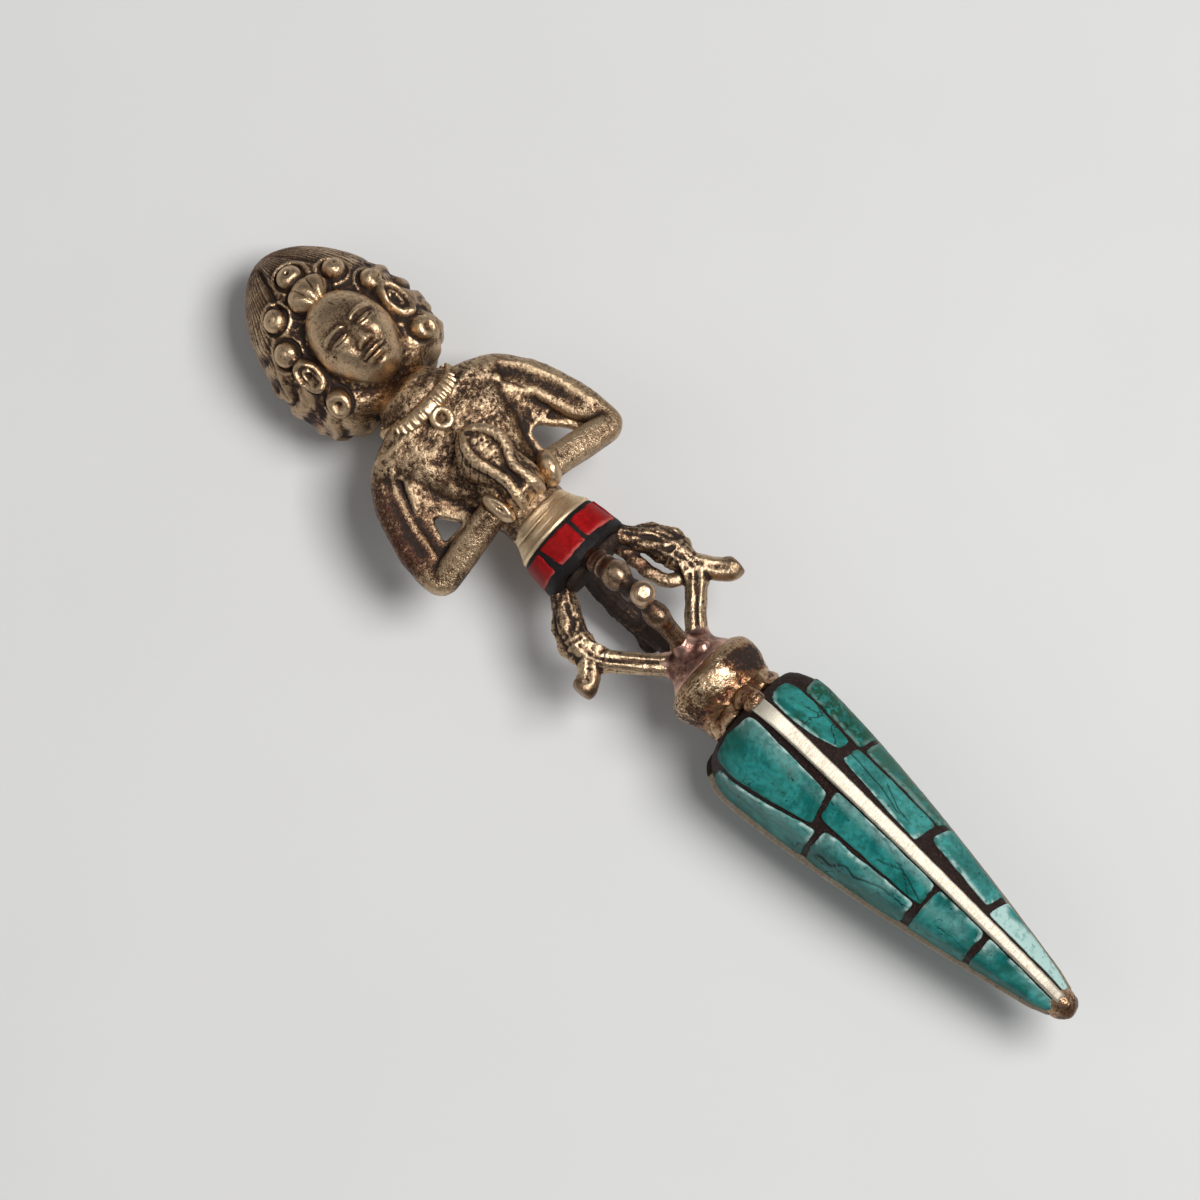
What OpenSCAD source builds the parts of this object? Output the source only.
// A three-edged ritual dagger, worn as a pendant, with a praying figure for a grip.
// It lies on its back: the length runs along Y with the head toward +Y, and the face looks up.
// All sizes are in millimetres.

/* [Blade] */
// Length of the blade, from the skirt to the tip
blade_l = 36.7; // [32:0.1:42]
// Distance from the axis to the three edges where the blade is widest
blade_r = 7.2; // [6:0.1:8.4]
// Distance from the axis to the three edges under the skirt
blade_top_r = 5; // [4.4:0.1:5.8]
// Distance from the axis to the three edges where the brass tip starts
blade_tip_r = 1.7; // [1.4:0.1:2.2]
// Length of the shoulder, where the blade swells from the skirt to its widest
shoulder_l = 3.6; // [2:0.1:6]
// Thickness of the brass webs, whose edges show as bright strips
web_t = 1.2; // [0.8:0.1:1.8]
// Length of the solid brass tip
tip_l = 1.6; // [1:0.1:3]
// Radius of the blunt end of the tip
tip_r = 0.7; // [0.4:0.05:1]
// Radius of the tang that holds the blade in the collar
tang_r = 1.5; // [1:0.1:2]
// Length of the tang
tang_l = 4.6; // [3:0.1:5.5]

/* [Turquoise] */
// Thickness of a turquoise tile
stone_t = 1.2; // [0.8:0.1:1.6]
// Width of the dark joints between tiles
joint_w = 0.42; // [0.25:0.01:0.7]
// How far the setting resin lies below the faces of the tiles
joint_sink = 0.12; // [0.05:0.01:0.25]
// Slant of the ends of a tile, over its width
end_slant = 0.7; // [0:0.1:1.2]

/* [Collar] */
// Height of the flared skirt over the blade
skirt_l = 1.3; // [0.8:0.1:2.5]
// Radius of the skirt's lower rim
skirt_r = 4.3; // [3.8:0.1:5]
// Height of the collar
collar_l = 4.1; // [3.6:0.1:5]
// Radius of the collar's bulge
collar_r = 4.4; // [3.9:0.1:5.4]
// Radius of the collar where the skirt starts
collar_foot_r = 3.4; // [3:0.1:3.8]
// Radius of the boss that the prongs run down to
neck_r = 2.6; // [2.2:0.1:3]
// Height of that boss
neck_l = 2.2; // [1.8:0.1:3]
// Radius of the boss where it meets the collar
neck_foot_r = 3.1; // [2.8:0.1:3.3]

/* [Cage] */
// Height of the open cage
cage_l = 10.4; // [9:0.1:12]
// Distance from the axis to the tips of the horns
horn_reach = 8.6; // [8:0.1:9.6]
// Height of the horns' tips above the foot of the cage
horn_up = 3.4; // [2.6:0.1:4.4]
// Radius of a horn at its blunt tip
horn_r = 0.8; // [0.5:0.05:1]
// Distance from the axis to the knees of the prongs
knee_reach = 5.3; // [4.6:0.1:6]
// Height of the knees above the foot of the cage
knee_up = 5.5; // [4.5:0.1:6.5]
// Width of a prong at its root
prong_w = 2.3; // [1.8:0.1:3]
// Width of a prong at its foot
prong_foot_w = 1.7; // [1.4:0.1:2.2]
// Depth of a prong's upper limb, out from the axis
prong_d = 2; // [1.6:0.1:2.6]
// Depth of a prong at its foot
prong_foot_d = 1.5; // [1.2:0.1:2]
// Thickness of the plate that the prongs hang from
plate_t = 0.8; // [0.5:0.1:1.4]

/* [Band and cup] */
// Height of the band of red tiles
band_l = 3.8; // [3.2:0.1:4.6]
// Radius of the band at its top
band_top_r = 3.85; // [3.5:0.05:4.3]
// Radius of the band at its bottom
band_foot_r = 4.3; // [3.9:0.05:4.8]
// Radius of the brass drum inside the band
drum_r = 2.8; // [2.2:0.1:3.1]
// Height of the red tiles
coral_l = 1.9; // [1.4:0.1:2.4]
// Thickness of the red tiles
coral_t = 0.9; // [0.5:0.05:1]
// Height of resin above the red tiles
coral_drop = 0.4; // [0.2:0.05:0.8]
// Height of the cup under the figure
cup_l = 2.2; // [1.6:0.1:3]
// Radius of the cup where the figure stands on it
cup_top_r = 2.9; // [2.6:0.1:3.3]
// Radius of the cup's rim over the band
cup_rim_r = 3.75; // [3.5:0.05:4.2]

/* [Figure] */
// Height of the torso, from the cup to the neck
torso_l = 13.9; // [12.5:0.1:15.5]
// Width of the waist
waist_w = 6; // [5:0.1:6.6]
// Width of the chest at the shoulders
chest_w = 15; // [13.5:0.1:16.5]
// Depth of the chest, front to back
chest_d = 5.8; // [5:0.1:6.6]
// Width of the neck
throat_w = 6; // [5:0.1:7]
// Depth of the neck, front to back
throat_d = 5; // [4:0.1:5.6]
// Length of neck that shows under the hair
throat_l = 1.7; // [1.2:0.1:2.6]
// Width over both elbows
elbow_span = 23.1; // [21:0.1:25]
// Height of the elbows' centres above the cup
elbow_up = 1.55; // [1.3:0.05:2.2]
// Width of an upper arm
arm_w = 2.5; // [2:0.1:3]
// Width of a forearm
forearm_w = 2.8; // [2.2:0.1:3.1]
// Thickness of the sheet of metal between arm and chest
sheet_t = 0.8; // [0.5:0.1:1.2]
// Length of the joined hands
hand_l = 8.8; // [7.5:0.1:10]
// Width of the two hands together
hands_w = 4.8; // [4:0.1:5.4]
// Depth of the hands, out from the chest
hand_d = 4; // [3.2:0.1:4.6]
// Radius of the bracelets
bracelet_r = 1.75; // [1.5:0.05:2]
// Width of the bracelets
bracelet_w = 1.1; // [0.8:0.1:1.5]
// Thickness of the necklace
necklace_t = 0.9; // [0.6:0.1:1.2]
// Radius of the ring that hangs from the necklace
ring_r = 1.05; // [0.9:0.05:1.3]
// Radius of the hole in that ring
ring_hole_r = 0.45; // [0.3:0.05:0.6]

/* [Head] */
// Height of the hair, from its lower rim to the crown
hair_l = 17; // [15:0.1:19]
// Width of the hair
hair_w = 14.4; // [13:0.1:16]
// Depth of the hair before its back is worn flat
hair_d = 12.3; // [11.6:0.1:13.4]
// Depth worn off the back of the hair, where it rests
worn_d = 0.6; // [0.3:0.05:0.9]
// Width of the face
face_w = 6.9; // [6:0.1:8]
// Height of the face
face_h = 9; // [8:0.1:10]
// How far the face stands out of the hair
face_rise = 2.3; // [1.6:0.1:3]
// Distance from the crown to the middle of the face
face_down = 11.1; // [10:0.1:12]
// Radius of the largest knobs on the hair
knob_r = 1.2; // [1:0.05:1.4]
// Width of the combed tuft over the face
tuft_w = 4; // [3.4:0.1:4.6]
// Height of the combed tuft
tuft_h = 2.5; // [2:0.1:2.8]
// Width of an ear
ear_w = 1.5; // [1.2:0.1:1.8]
// Height of an ear
ear_l = 3; // [2.4:0.1:3.4]
// Radius of an earring
earring_r = 1.05; // [0.9:0.05:1.2]

/* [Clearances] */
// Gap round a stone in its bed of resin
bed_gap = 0.03; // [0.01:0.01:0.06]
// Gap round the tang in the collar
tang_gap = 0.05; // [0.02:0.01:0.12]
// Gap between the palms
palm_gap = 0.06; // [0.02:0.01:0.2]
// Depth by which an applied detail is pressed into the form under it
press_in = 0.12; // [0.05:0.01:0.3]

/* [Hidden] */
FACES = 3;
ROWS = 6;
CORALS = 6;
CORAL_NODES = [for (i = [1:CORALS]) str("coral_", i)];
STONE_NODES = [for (f = [1:FACES], i = [1:ROWS]) str("turquoise_", f, "_", i)];
RESIN_NODES = [for (f = [1:FACES]) str("blade_resin_", f)];
PRONG_NODES = ["prong_front", "prong_right", "prong_back", "prong_left"];
SIDES = ["left", "right"];
ARM_NODES = [for (s = SIDES) str(s, "_arm")];
WEB_NODES = [for (s = SIDES) str(s, "_web")];
BRACELET_NODES = [for (s = SIDES) str(s, "_bracelet")];
HAND_NODES = [for (s = SIDES) str(s, "_hand")];
$fn = 48;

// Places along the axis, from the tip up to the crown, with the middle of the length at zero.
hair_tuck = 0.3;
total_l = blade_l + skirt_l + collar_l + neck_l + cage_l + band_l + cup_l + torso_l + throat_l
    + hair_l - hair_tuck;
tip_y = -total_l / 2;
blade_y = tip_y + blade_l;
skirt_y = blade_y + skirt_l;
collar_y = skirt_y + collar_l;
cage_y = collar_y + neck_l;
band_y = cage_y + cage_l;
cup_y = band_y + band_l;
waist_y = cup_y + cup_l;
throat_y = waist_y + torso_l;
hair_y = throat_y + throat_l - hair_tuck;
crown_y = hair_y + hair_l;

// The axis lies as high as the horns reach, so that the back horn stands on the ground.
axis_z = horn_reach;

BRASS = "#8a6f3c";
BRIGHT_BRASS = "#d8c48c";
COPPER = "#9a5f48";
TURQUOISE = "#2f9c8a";
BROWN_RESIN = "#3a2a1e";
BLACK_RESIN = "#1c1a19";
CORAL = "#b3201c";

// Plain helpers for points and curves.
function unit(v) = v / norm(v);
function mix(a, b, t) = a + (b - a) * t;
function clamp(v) = min(max(v, 0), 1);
function signed_power(v, e) = sign(v) * pow(abs(v), e);
function steps(count) = [for (i = [0:count]) i / count];
function bump(d, w) = exp(-d * d / (w * w));
function bezier(a, b, c, t) = mix(mix(a, b, t), mix(b, c, t), t);

// A closed skin over rings that all have the same even count of points, closed by a ladder of
// triangles at each end, unless the last ring joins the first.
// Each ring turns from side to lift, where side x lift points back along the row of rings.
module skin(rings, loop = false) {
    n = len(rings[0]);
    m = len(rings);
    joins = [for (j = [0:loop ? m - 1 : m - 2], i = [0:n - 1])
        let (k = (i + 1) % n, a = j * n, b = ((j + 1) % m) * n)
        each [[a + i, a + k, b + k], [a + i, b + k, b + i]]];
    ends = [for (i = [0:n / 2 - 2])
        let (a = i, b = i + 1, c = n - 2 - i, d = n - 1 - i, e = (m - 1) * n)
        each [[c, b, a], [d, c, a], [e + a, e + b, e + c], [e + a, e + c, e + d]]];
    polyhedron([for (r = rings) each r], loop ? joins : concat(joins, ends));
}

// Rings of half width w and half depth d along the centres p.
function tube(p, w, d, up, n, loop = false) = [for (j = [0:len(p) - 1])
    let (
        last = len(p) - 1,
        before = p[j > 0 ? j - 1 : loop ? last : 0],
        after = p[j < last ? j + 1 : loop ? 0 : last],
        along = unit(after - before),
        side = unit(cross(along, up)),
        lift = cross(side, along)
    )
    [for (i = [0:n - 1]) p[j] + side * w[j] * cos(360 * i / n) + lift * d[j] * sin(360 * i / n)]];

// A level ring of a body that runs along Y, rounder for smaller e.
function level_ring(y, a, b, z, e, n) = [for (i = [0:n - 1])
    let (c = cos(360 * i / n), s = sin(360 * i / n))
    [a * signed_power(c, 2 / e), y, z + b * signed_power(s, 2 / e)]];

// A solid turned on the axis of the dagger, from radius and place points.
module turned(points, angle = 360) {
    translate([0, 0, axis_z])
        rotate([-90, 0, 0])
            rotate_extrude(angle = angle)
                polygon(points);
}

// Turns what stands above the axis round to an angle, from the top toward +X.
module around(angle) {
    translate([0, 0, axis_z])
        rotate([0, angle, 0])
            children();
}

// Mirrors the right-hand piece to make the left-hand one.
module on_side(side) {
    mirror([side == "left" ? 1 : 0, 0, 0])
        children();
}

// Blade. The edges reach blade_reach(y) out from the axis at each place y.
leaf_power = 1.4;
wide_y = blade_y - shoulder_l;
stone_foot_y = tip_y + tip_l;
function leaf(y) = 1 - pow(1 - clamp((y - stone_foot_y) / (wide_y - stone_foot_y)), leaf_power);
function blade_reach(y) = y > wide_y
    ? mix(blade_top_r, blade_r, sqrt(1 - pow(clamp((y - wide_y) / shoulder_l), 2)))
    : mix(blade_tip_r, blade_r, leaf(y));
blade_rows = concat(
    [for (t = steps(12)) mix(stone_foot_y, wide_y, t)],
    [for (t = steps(4)) if (t > 0) mix(wide_y, blade_y, sin(90 * t))]
);

// The crease down the middle of a face lies a little nearer the axis than the edges.
crease_share = 0.845;
function crease_reach(y) = crease_share * blade_reach(y);
web_meet = web_t / 2 / sin(60);

// Points of one face, seen with its crease upward: the edge lies 60 degrees to each side.
function edge_dir(s) = [s * sin(60), cos(60)];
// A point of the face at a share t of the way from the edge strip to the crease, below it by sink.
function face_point(y, s, t, sink) =
    let (
        edge = edge_dir(s) * blade_reach(y),
        crease = [0, crease_reach(y)],
        run = crease - edge,
        across = [-edge_dir(s)[1] * s, edge_dir(s)[0] * s],
        start = edge + run * (web_t / 2 / abs(run * across))
    )
    mix(start - edge_dir(s) * sink, crease - [0, sink], t);

// Three webs stand out from the axis, and their outer edges are the bright strips of the blade.
module blade_core() {
    color(BRIGHT_BRASS)
        union() {
            for (f = [0:FACES - 1])
                around(360 / FACES * f)
                    translate([-web_t / 2, 0, 0])
                        rotate([90, 0, 90])
                            linear_extrude(web_t)
                                polygon(concat(
                                    [[blade_y, 0], [stone_foot_y, 0]],
                                    [for (y = blade_rows) [y, blade_reach(y)]]
                                ));
            turned([
                [0, tip_y], [tip_r * 0.6, tip_y], [tip_r, tip_y + tip_r * 0.4],
                [blade_tip_r * 0.94, stone_foot_y - 0.2], [blade_tip_r, stone_foot_y],
                [web_meet, stone_foot_y + tip_l], [0, stone_foot_y + tip_l]
            ]);
            turned([[0, blade_y - 1], [tang_r, blade_y - 1], [tang_r, blade_y + tang_l], [0, blade_y + tang_l]]);
        }
}

// Joints of the tiles on each face, as shares of the length of the stone field from the skirt down:
// the joint of the left row, of the right row, the end of both rows, and the joint below them.
LEFT_JOINT = [0.325, 0.235, 0.26];
RIGHT_JOINT = [0.28, 0.275, 0.3];
ROWS_END = [0.6, 0.525, 0.57];
LOW_JOINT = [0.775, 0.74, 0.75];
// Where the joint between the rows runs: -1 is at the left strip, 0 on the crease, 1 at the right strip.
ROW_SPLIT = [-0.25, 0.08, 0.22];
// The middle of each face, as an angle from the top toward +X: right, back and left.
FACE_ANGLE = [for (f = [0:FACES - 1]) 60 + 360 / FACES * f];

field_l = blade_y - stone_foot_y - joint_w;
function joint_y(share) = blade_y - share * field_l;
// Upper and lower end of tile i: two in the left row, two in the right row and two below.
function tile_span(f, i) = [
    [0, LEFT_JOINT[f]], [LEFT_JOINT[f], ROWS_END[f]],
    [0, RIGHT_JOINT[f]], [RIGHT_JOINT[f], ROWS_END[f]],
    [ROWS_END[f], LOW_JOINT[f]], [LOW_JOINT[f], 1]
][i];

// A point across a face, where q runs from -1 at the left strip over 0 on the crease to 1.
function across_point(y, q, sink) = face_point(y, q < 0 ? -1 : 1, 1 - abs(q), sink);

// A tile shrinks toward the blade's tip with the wedge that holds it.
function tile_depth(y) = min(stone_t, 0.5 * (crease_reach(y) - web_meet));
// Cross-section of a tile at place y between q[0] and q[1], whose ends stand back by back[0], back[1].
function tile_section(y, q, back, grow, slant, lift) =
    let (
        facet = norm(across_point(y, 0, 0) - across_point(y, 1, 0)),
        from = q[0] + back[0] / facet,
        to = q[1] - back[1] / facet,
        places = [from, from < 0 && to > 0 ? 0 : (from + to) / 2, to],
        outer = [for (c = places) across_point(y, c, -lift)],
        inner = [for (c = [to, places[1], from]) across_point(y, c, tile_depth(y) + grow)]
    )
    [for (p = concat(outer, inner)) [p[0], y + slant * p[0] / blade_r, p[1]]];

// The solid of a tile, or of its bed when grow is the gap round it. A bed is open toward the web.
at_web = 0.02;
past_web = -0.01;
module tile(f, i, grow = 0, lift = 0) {
    span = tile_span(f, i);
    half_joint = joint_w / 2 - grow;
    strip_gap = grow > 0 ? past_web : at_web;
    q = i < 2 ? [-1, ROW_SPLIT[f]] : i < 4 ? [ROW_SPLIT[f], 1] : [-1, 1];
    back = [i == 2 || i == 3 ? half_joint : strip_gap, i < 2 ? half_joint : strip_gap];
    at_top = span[0] == 0;
    at_foot = span[1] == 1;
    top = joint_y(span[0]) - (at_top ? at_web - grow * 2 : half_joint);
    foot = joint_y(span[1]) + (at_foot ? -grow : half_joint);
    slants = [at_top ? 0 : end_slant, at_foot ? 0 : end_slant];
    around(FACE_ANGLE[f])
        skin([for (t = steps(5))
            tile_section(mix(top, foot, t), q, back, grow, mix(slants[0], slants[1], t), lift)]);
}

module turquoise(f, i) {
    color(TURQUOISE)
        tile(f, i);
}

// Dark resin fills the space between two webs, with a bed sunk into it for each tile.
module blade_resin(f) {
    color(BROWN_RESIN)
        difference() {
            around(FACE_ANGLE[f])
                skin([for (k = [len(blade_rows) - 1:-1:0])
                    let (
                        y = blade_rows[k],
                        left = face_point(y, -1, 0, joint_sink),
                        crease = [0, crease_reach(y) - joint_sink],
                        right = face_point(y, 1, 0, joint_sink)
                    )
                    [for (p = [left, crease, right, [0, web_meet]]) [p[0], y, p[1]]]]);
            for (i = [0:ROWS - 1])
                tile(f, i, bed_gap, 1);
        }
}

// Collar, skirt and the boss above them, drilled for the tang.
bore_r = tang_r + tang_gap;
module skirt() {
    color(BRASS)
        turned([
            [bore_r, blade_y], [skirt_r - 0.1, blade_y], [skirt_r, blade_y + 0.15],
            [mix(skirt_r, collar_foot_r, 0.55), blade_y + skirt_l * 0.45],
            [collar_foot_r, skirt_y], [bore_r, skirt_y]
        ]);
}

rim_round = 0.35;
bulge_low_y = skirt_y + collar_l * 0.3;
bulge_high_y = skirt_y + collar_l * 0.8;
module collar() {
    color(BRASS)
        turned([
            [bore_r, skirt_y], [collar_foot_r, skirt_y],
            [collar_r - rim_round, bulge_low_y - rim_round], [collar_r, bulge_low_y],
            [collar_r - 0.12, bulge_low_y + rim_round * 1.6],
            [collar_r - 0.12, bulge_high_y - rim_round * 1.6],
            [collar_r, bulge_high_y], [collar_r - rim_round, bulge_high_y + rim_round],
            [neck_foot_r, collar_y], [0, collar_y],
            [0, blade_y + tang_l + tang_gap], [bore_r, blade_y + tang_l + tang_gap]
        ]);
}

// The boss swells toward the collar, and a ring of braze fills the corner round the prongs' feet.
braze_w = 0.4;
module cage_neck() {
    color(BRASS)
        turned([
            [0, collar_y], [neck_foot_r, collar_y], [mix(neck_r, neck_foot_r, 0.7), collar_y + neck_l * 0.25],
            [neck_r, cage_y - braze_w * 2.5],
            [neck_r - braze_w, cage_y - braze_w], [neck_r - braze_w, cage_y], [0, cage_y]
        ]);
}

module neck_braze() {
    color(COPPER)
        turned([
            [neck_r - braze_w, cage_y], [neck_r - braze_w, cage_y - braze_w],
            [neck_r, cage_y - braze_w * 2.5], [neck_r + braze_w * 0.3, cage_y - braze_w * 1.4],
            [neck_r + braze_w * 0.2, cage_y - braze_w * 0.4]
        ]);
}

// A prong slopes out from the plate to its knee and in again to the boss, with a bead on each limb.
root_reach = drum_r + 0.3;
foot_reach = neck_r * 0.48;
bead_rise = prong_d * 0.2;
BEAD_UP = [knee_up * 0.4, -knee_up * 0.436];
limb_bow = [0, 0, prong_d * 0.225];
prong_root = [0, band_y, root_reach];
prong_knee = [0, cage_y + knee_up, knee_reach];
prong_foot = [0, cage_y, foot_reach];
prong_sides = 12;
prong_path = concat(
    [for (t = steps(7)) bezier(prong_root, mix(prong_root, prong_knee, 0.5) + limb_bow, prong_knee, t)],
    [for (t = steps(7)) if (t > 0)
        bezier(prong_knee, mix(prong_knee, prong_foot, 0.4) + limb_bow, prong_foot, t)]
);
HORN_SWELL = [1.2, 1.1, 1, 1, 1.12, 1.2, 1];
function bead(p, at) = bead_rise * bump(p[1] - at, 0.8);
module prong(angle) {
    last = len(prong_path) - 1;
    w = [for (j = [0:last]) mix(prong_w, prong_foot_w, pow(j / last, 0.8)) / 2];
    d = [for (j = [0:last]) let (p = prong_path[j])
        mix(prong_d, prong_foot_d, j / last) / 2
            + bead(p, cage_y + knee_up + BEAD_UP[0]) + bead(p, cage_y + knee_up + BEAD_UP[1])];
    base = [0, cage_y + knee_up - 0.3, knee_reach];
    bend = [0, cage_y + horn_up, knee_reach + 1.7];
    tip = [0, cage_y + horn_up, horn_reach];
    horn = concat([for (t = steps(5)) bezier(base, bend, tip - [0, 0, horn_r], t)], [tip]);
    horn_radii = HORN_SWELL * horn_r;
    color(BRASS)
        around(angle)
            union() {
                skin(tube(prong_path, w, d, [0, 0, 1], prong_sides));
                skin(tube(horn, horn_radii, horn_radii, [1, 0, 0], prong_sides));
            }
}

module cage_plate() {
    color(BRASS)
        turned([[0, band_y], [plate_r, band_y], [plate_r, band_y + plate_t], [0, band_y + plate_t]]);
}

// The band: black resin cast round the drum, with six red tiles let into it.
plate_r = drum_r + 0.7;
tile_proud = 0.12;
coral_top_y = cup_y - coral_drop;
function band_r(y) = mix(band_foot_r, band_top_r, (y - band_y) / band_l);
// Where each red tile starts and how far it runs, in degrees from the top toward +X.
CORAL_START = [-101, -39, 13, 72, 134, 196];
CORAL_RUN = [55, 44, 51, 54, 54, 55];
module coral_ring(i, grow, proud) {
    low = coral_top_y - coral_l - grow;
    high = coral_top_y + grow;
    back = band_r(high) - coral_t - grow;
    swing = grow / back * 180 / PI;
    translate([0, 0, axis_z])
        rotate([0, CORAL_START[i - 1] - swing, 0])
            rotate([-90, 0, 0])
                rotate([0, 0, -90])
                    rotate_extrude(angle = CORAL_RUN[i - 1] + 2 * swing)
                        polygon([
                            [back, low], [band_r(low) + proud - 0.06, low],
                            [band_r(low + 0.2) + proud, low + 0.2],
                            [band_r(high - 0.2) + proud, high - 0.2],
                            [band_r(high) + proud - 0.06, high], [back, high]
                        ]);
}

module coral(i) {
    color(CORAL)
        coral_ring(i, 0, tile_proud);
}

module band_resin() {
    color(BLACK_RESIN)
        difference() {
            turned([
                [plate_r, band_y], [band_foot_r - 0.1, band_y], [band_foot_r, band_y + 0.15],
                [band_top_r, cup_y], [drum_r, cup_y], [drum_r, band_y + plate_t],
                [plate_r, band_y + plate_t]
            ]);
            for (i = [1:CORALS])
                coral_ring(i, bed_gap, 1);
        }
}

// The cup and the drum below it are one turned piece.
module waist_cup() {
    groove_y = cup_y + cup_l * 0.62;
    color(BRASS)
        turned([
            [0, band_y + plate_t], [drum_r, band_y + plate_t], [drum_r, cup_y],
            [cup_rim_r, cup_y], [cup_rim_r + 0.08, cup_y + 0.2],
            [mix(cup_top_r, cup_rim_r, 0.35), groove_y - 0.1], [mix(cup_top_r, cup_rim_r, 0.22), groove_y],
            [mix(cup_top_r, cup_rim_r, 0.28), groove_y + 0.15], [cup_top_r, waist_y], [0, waist_y]
        ]);
}

// The torso widens from the waist to the shoulders and closes over them to the neck.
shoulder_share = 0.83;
torso_sides = 28;
torso_square = 2.4;
neck_flare = 0.9;
function torso_half(y) =
    let (t = clamp((y - waist_y) / torso_l))
    t < shoulder_share
        ? mix(waist_w / 2, chest_w / 2, pow(t / shoulder_share, 1.85))
        : mix(chest_w / 2, throat_w / 2 + neck_flare, pow((t - shoulder_share) / (1 - shoulder_share), 2));
function torso_deep(y) = mix(chest_d * 0.86, chest_d, sin(180 * clamp((y - waist_y) / torso_l))) / 2;
module torso() {
    rows = concat(
        [for (t = steps(9)) mix(0, shoulder_share, t)],
        [for (t = steps(6)) if (t > 0) mix(shoulder_share, 1, t)]
    );
    color(BRASS)
        skin([for (t = rows)
            let (y = waist_y + t * torso_l)
            level_ring(y, torso_half(y), torso_deep(y), axis_z, torso_square, torso_sides)]);
}

module neck() {
    rows = [for (t = steps(5)) mix(throat_y, hair_y + 0.7, t)];
    color(BRASS)
        skin([for (y = rows)
            let (flare = neck_flare * bump(y - throat_y, 0.8))
            level_ring(y, throat_w / 2 + flare, throat_d / 2 + flare * 0.2, axis_z - 0.2, 2.1, 24)]);
}

// An arm runs from the shoulder to a sharp elbow and back to the wrist, which lies further out.
elbow_half = elbow_span / 2 - arm_w / 2;
shoulder_at = [chest_w * 0.42, throat_y - torso_l * 0.158, axis_z - arm_w * 0.08];
elbow_at = [elbow_half, waist_y + elbow_up, axis_z + arm_w * 0.2];
wrist_at = [hands_w * 0.7, elbow_at[1] + forearm_w * 0.27, axis_z + hand_d * 0.875];
arm_bow = [elbow_half * 0.913, throat_y - torso_l * 0.403, axis_z - arm_w * 0.04];
elbow_cut = arm_w * 0.36;
arm_sides = 14;
upper_arm = [for (t = steps(7)) bezier(shoulder_at, arm_bow, elbow_at, t * 0.9)];
fore_dir = unit(wrist_at - elbow_at);
elbow_turn = [for (t = steps(4)) if (t > 0)
    bezier(upper_arm[7], elbow_at, elbow_at + fore_dir * elbow_cut, t)];
fore_arm = [for (t = steps(5)) if (t > 0) mix(elbow_at + fore_dir * elbow_cut, wrist_at, t)];
arm_path = concat(upper_arm, elbow_turn, fore_arm);
module arm() {
    last = len(arm_path) - 1;
    w = [for (j = [0:last]) mix(arm_w, forearm_w, clamp((j - 8) / 3)) / 2 * (j == 0 ? 0.7 : 1)];
    color(BRASS)
        skin(tube(arm_path, w, w * 1.08, [0, 0, 1], arm_sides));
}

// A thin sheet closes the armpit and leaves a three-cornered hole above the forearm.
armpit = 2;
arm_end = len(upper_arm) - 1;
hole_w = arm_w * 1.24;
hole_l = torso_l * 0.223;
web_tuck = arm_w * 0.1;
module web() {
    inner_arm = -arm_w / 2 + web_tuck;
    arm_edge = [for (j = [armpit:arm_end - 1]) [upper_arm[j][0] + inner_arm, upper_arm[j][1]]];
    forearm_top = elbow_at[1] + forearm_w / 2;
    hole_x = torso_half(forearm_top) + arm_w * 0.2;
    color(BRASS)
        translate([0, 0, axis_z - sheet_t / 2])
            linear_extrude(sheet_t)
                difference() {
                    polygon(concat(
                        [for (t = steps(5))
                            let (y = mix(forearm_top, upper_arm[armpit][1], t))
                            [torso_half(y) - web_tuck, y]],
                        arm_edge,
                        [[upper_arm[arm_end][0] + inner_arm, forearm_top]]
                    ));
                    polygon([
                        [hole_x, forearm_top - 1], [hole_x, forearm_top + hole_l * 0.2],
                        [hole_x + hole_w * 0.22, forearm_top + hole_l],
                        [hole_x + hole_w * 0.39, forearm_top + hole_l * 0.97],
                        [hole_x + hole_w, forearm_top + hole_l * 0.06], [hole_x + hole_w, forearm_top - 1]
                    ]);
                }
}

// The bracelet sits between the forearm and the hand.
module bracelet() {
    h = bracelet_w / 2;
    color(BRASS)
        translate(wrist_at - [h, 0, 0])
            rotate([0, 90, 0])
                rotate_extrude()
                    polygon([
                        [0, -h], [bracelet_r - 0.35, -h], [bracelet_r - 0.1, -h + 0.15], [bracelet_r, 0],
                        [bracelet_r - 0.1, h - 0.15], [bracelet_r - 0.35, h], [0, h]
                    ]);
}

// A hand is half a leaf with its flat palm on the middle plane and a hollow along its upper edge.
hand_y = waist_y + hand_l * 0.09;
hand_z = axis_z + chest_d * 0.43 + hand_d / 2;
palm_hollow = hand_d * 0.175;
hand_sides = 16;
hand_rows = steps(12);
function hand_wide(t) = hands_w / 2 * (0.62 + 0.38 * sin(180 * clamp((t - 0.05) / 0.95)))
    * sqrt(clamp((1.02 - t) / 0.5));
function hand_thick(t) = hand_d / 2 * (0.8 + 0.2 * sin(180 * t)) * sqrt(clamp((1.04 - t) / 0.4));
module hand() {
    color(BRASS)
        skin([for (t = hand_rows)
            [for (i = [0:hand_sides - 1])
                let (
                    a = 360 * (i + 0.5) / hand_sides - 90,
                    c = max(cos(a), 0),
                    s = sin(a),
                    dip = s > 0 ? palm_hollow * s * pow(1 - c, 2) * sin(180 * t) : 0
                )
                [palm_gap / 2 + c * hand_wide(t), hand_y + t * hand_l,
                    hand_z + s * hand_thick(t) - dip]]]);
}

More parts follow.
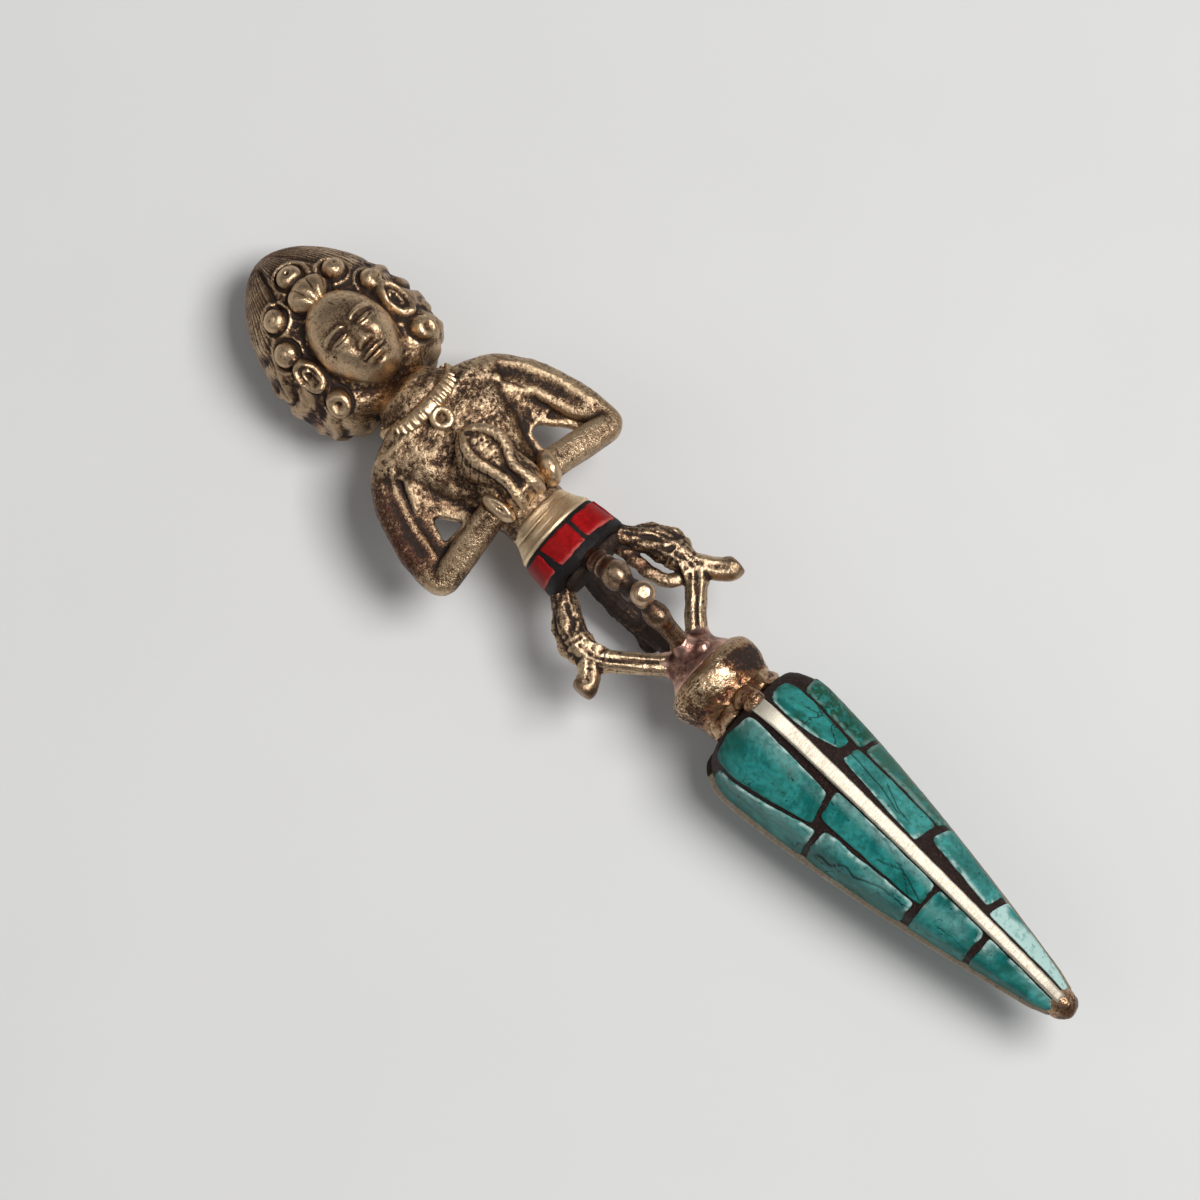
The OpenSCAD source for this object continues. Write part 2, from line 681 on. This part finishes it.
// The necklace lies round the neck, lowest at the front.
necklace_front = 1.4;
module necklace() {
    places = 36;
    lowest = throat_y - necklace_front;
    path = [for (k = [0:places - 1])
        let (
            a = 360 * k / places,
            y = min(lowest + necklace_front * (1 - cos(a)), throat_y + 0.1),
            half = y < throat_y ? torso_half(y) : throat_w / 2 + 0.3,
            deep = y < throat_y ? torso_deep(y) : throat_d / 2 + 0.2
        )
        [half * sin(a), y, axis_z + deep * cos(a)]];
    r = [for (k = [0:places - 1]) necklace_t / 2];
    color(BRASS)
        skin(tube(path, r, r, [0, 1, 0], 8, loop = true), loop = true);
}

module necklace_ring() {
    t = ring_r - ring_hole_r;
    y = throat_y - necklace_front - necklace_t / 2 - ring_r + 0.2;
    color(BRASS)
        translate([0, y, axis_z + torso_deep(y) + t / 2 - press_in])
            rotate_extrude()
                translate([ring_hole_r + t / 2, 0])
                    circle(d = t, $fn = 24);
}

// The hair is an egg with a pointed crown and a rounder lower rim, worn flat at the back.
hair_wide_share = 0.647;
hair_mid_y = crown_y - hair_wide_share * hair_l;
hair_mid_z = hair_d / 2 - worn_d;
function hair_share(y) = y > hair_mid_y
    ? pow(1 - pow(clamp((y - hair_mid_y) / (crown_y - hair_mid_y)), 1.8), 1 / 1.8)
    : pow(1 - pow(clamp((hair_mid_y - y) / (hair_mid_y - hair_y)), 3), 1 / 3);
function hair_point(x, y) =
    let (k = max(hair_share(y), 0.05), a = clamp(abs(x) / (hair_w / 2 * k)))
    [x, y, hair_mid_z + hair_d / 2 * k * sqrt(1 - a * a)];
function hair_normal(p) =
    let (
        step = 0.05,
        slope = (hair_share(p[1] + step) - hair_share(p[1] - step)) / (2 * step),
        rx = hair_w / 2,
        rz = hair_d / 2
    )
    unit([p[0] / rx / rx, -hair_share(p[1]) * slope, (p[2] - hair_mid_z) / rz / rz]);
module hair_dome() {
    n = 32;
    rows = concat([for (t = steps(8)) mix(hair_y, hair_mid_y, 1 - cos(90 * t))],
        [for (t = steps(12)) if (t > 0) mix(hair_mid_y, crown_y, sin(90 * t))]);
    color(BRASS)
        difference() {
            skin([for (y = rows)
                let (k = max(hair_share(y), 0.06))
                level_ring(y, hair_w / 2 * k, hair_d / 2 * k, hair_mid_z, 2, n)]);
            translate([-hair_w, hair_y - 1, -worn_d * 2])
                cube([hair_w * 2, hair_l + 2, worn_d * 2]);
        }
}

// A detail pressed on the hair round (x, y), of half sizes rx and ry, with a rounded top and a pit.
module pressed(x, y, rx, ry, rise, pit = 0, pit_r = 0.3) {
    n = 16;
    centre = hair_point(x, y);
    out = hair_normal(centre);
    east = unit(cross([0, 1, 0], out));
    north = cross(out, east);
    shares = [0.25, 0.5, 0.75, 0.92, 1];
    function spot(q, a) =
        let (flat = centre + east * rx * q * cos(a) - north * ry * q * sin(a))
        hair_point(flat[0], flat[1]);
    function top_rise(q) = rise * sqrt(1 - q * q * 0.96) - pit * bump(q, pit_r);
    skin(concat(
        [for (q = shares) [for (i = [0:n - 1]) spot(q, 360 * i / n) - out * press_in]],
        [for (k = [len(shares) - 1:-1:0])
            [for (i = [0:n - 1]) spot(shares[k], 360 * i / n) + out * top_rise(shares[k])]]
    ));
}

// Knobs on the hair, from the crown down: place across as a share of the hair's half width,
// and place above the top of the face and radius as shares of the largest knob's radius.
KNOB_X = [0.014, -0.472, -0.66, 0.444, 0.653];
KNOB_UP = [2.75, 1.17, -1.08, 0.83, -1.5];
KNOB_R = [1, 0.875, 1, 0.83, 0.875];
face_y = crown_y - face_down;
face_top_y = face_y + face_h / 2;
module crown_knobs() {
    color(BRASS)
        for (k = [0:len(KNOB_X) - 1])
            let (r = KNOB_R[k] * knob_r)
            pressed(
                KNOB_X[k] * hair_w / 2, face_top_y + KNOB_UP[k] * knob_r, r, r, r * 0.9,
                k == 0 ? knob_r / 4 : 0
            );
}

// The ears lie beside the face, and the earrings hang under them.
ear_y = face_y + ear_l / 6;
ear_out = face_w / 2 + ear_w * 0.93;
module ears() {
    color(BRASS)
        for (s = [-1, 1])
            pressed(s * ear_out, ear_y, ear_w / 2, ear_l / 2, ear_w * 0.6, ear_w / 6, 0.5);
}

earring_y = ear_y - ear_l / 2 - earring_r * 1.7;
module earrings() {
    color(BRASS)
        for (s = [-1, 1])
            pressed(s * (ear_out - ear_w * 0.13), earring_y, earring_r, earring_r,
                earring_r * 0.67, earring_r / 3);
}

module hair_tuft() {
    color(BRASS)
        pressed(0, face_top_y + tuft_h * 0.36, tuft_w / 2, tuft_h / 2, tuft_h * 0.48);
}

// The face is a plain calm one: an oval with brows, nose, closed lids, lips and chin.
brow_up = 0.9;
nose_l = 2.3;
lips_down = 2.55;
chin_down = 3.75;
eye_out = 1.35;
function face_relief(x, y) =
    0.75 * bump(x, 0.55) * clamp((brow_up - y) / nose_l) * clamp((y + nose_l - brow_up + 0.35) / 0.35)
    + 0.25 * bump(abs(x) - eye_out, 0.75) * bump(y - 0.3, 0.4)
    + 0.22 * bump(abs(x) - eye_out, 1) * bump(y - brow_up - 0.35, 0.3)
    - 0.25 * bump(abs(x) - eye_out, 0.9) * bump(y + 0.35, 0.6)
    + 0.3 * bump(x, 0.95) * bump(y + lips_down, 0.42)
    + 0.35 * bump(x, 0.9) * bump(y + chin_down, 0.5)
    + 0.15 * bump(abs(x) - 1.8, 0.9) * bump(y + 1.3, 0.9);
module face() {
    n = 36;
    shares = [for (t = steps(11)) if (t > 0) sin(90 * t)];
    function spot(q, a) = [face_w / 2 * q * cos(a), face_y - face_h / 2 * q * sin(a)];
    function under(p) = hair_point(p[0], p[1])[2] - press_in;
    function over(p, q) = under(p) + press_in + face_rise * pow(max(1 - pow(q, 2.6), 0), 0.5)
        + face_relief(p[0], p[1] - face_y) * clamp((1 - q) * 5) + 0.05;
    color(BRASS)
        skin(concat(
            [for (q = shares) [for (i = [0:n - 1])
                let (p = spot(q, 360 * i / n)) [p[0], p[1], under(p)]]],
            [for (k = [len(shares) - 1:-1:0]) [for (i = [0:n - 1])
                let (p = spot(shares[k], 360 * i / n)) [p[0], p[1], over(p, shares[k])]]]
        ));
}

hair_dome();
crown_knobs();
hair_tuft();
face();
ears();
earrings();
neck();
necklace();
necklace_ring();
torso();
for (s = [0:1]) {
    on_side(SIDES[s]) arm();
    on_side(SIDES[s]) web();
    on_side(SIDES[s]) bracelet();
    on_side(SIDES[s]) hand();
}
waist_cup();
band_resin();
for (i = [1:CORALS]) {
    coral(i);
}
cage_plate();
for (k = [0:3]) {
    prong(90 * k);
}
cage_neck();
neck_braze();
collar();
skirt();
blade_core();
for (f = [0:FACES - 1]) {
    blade_resin(f);
    for (i = [0:ROWS - 1]) {
        turquoise(f, i);
    }
}
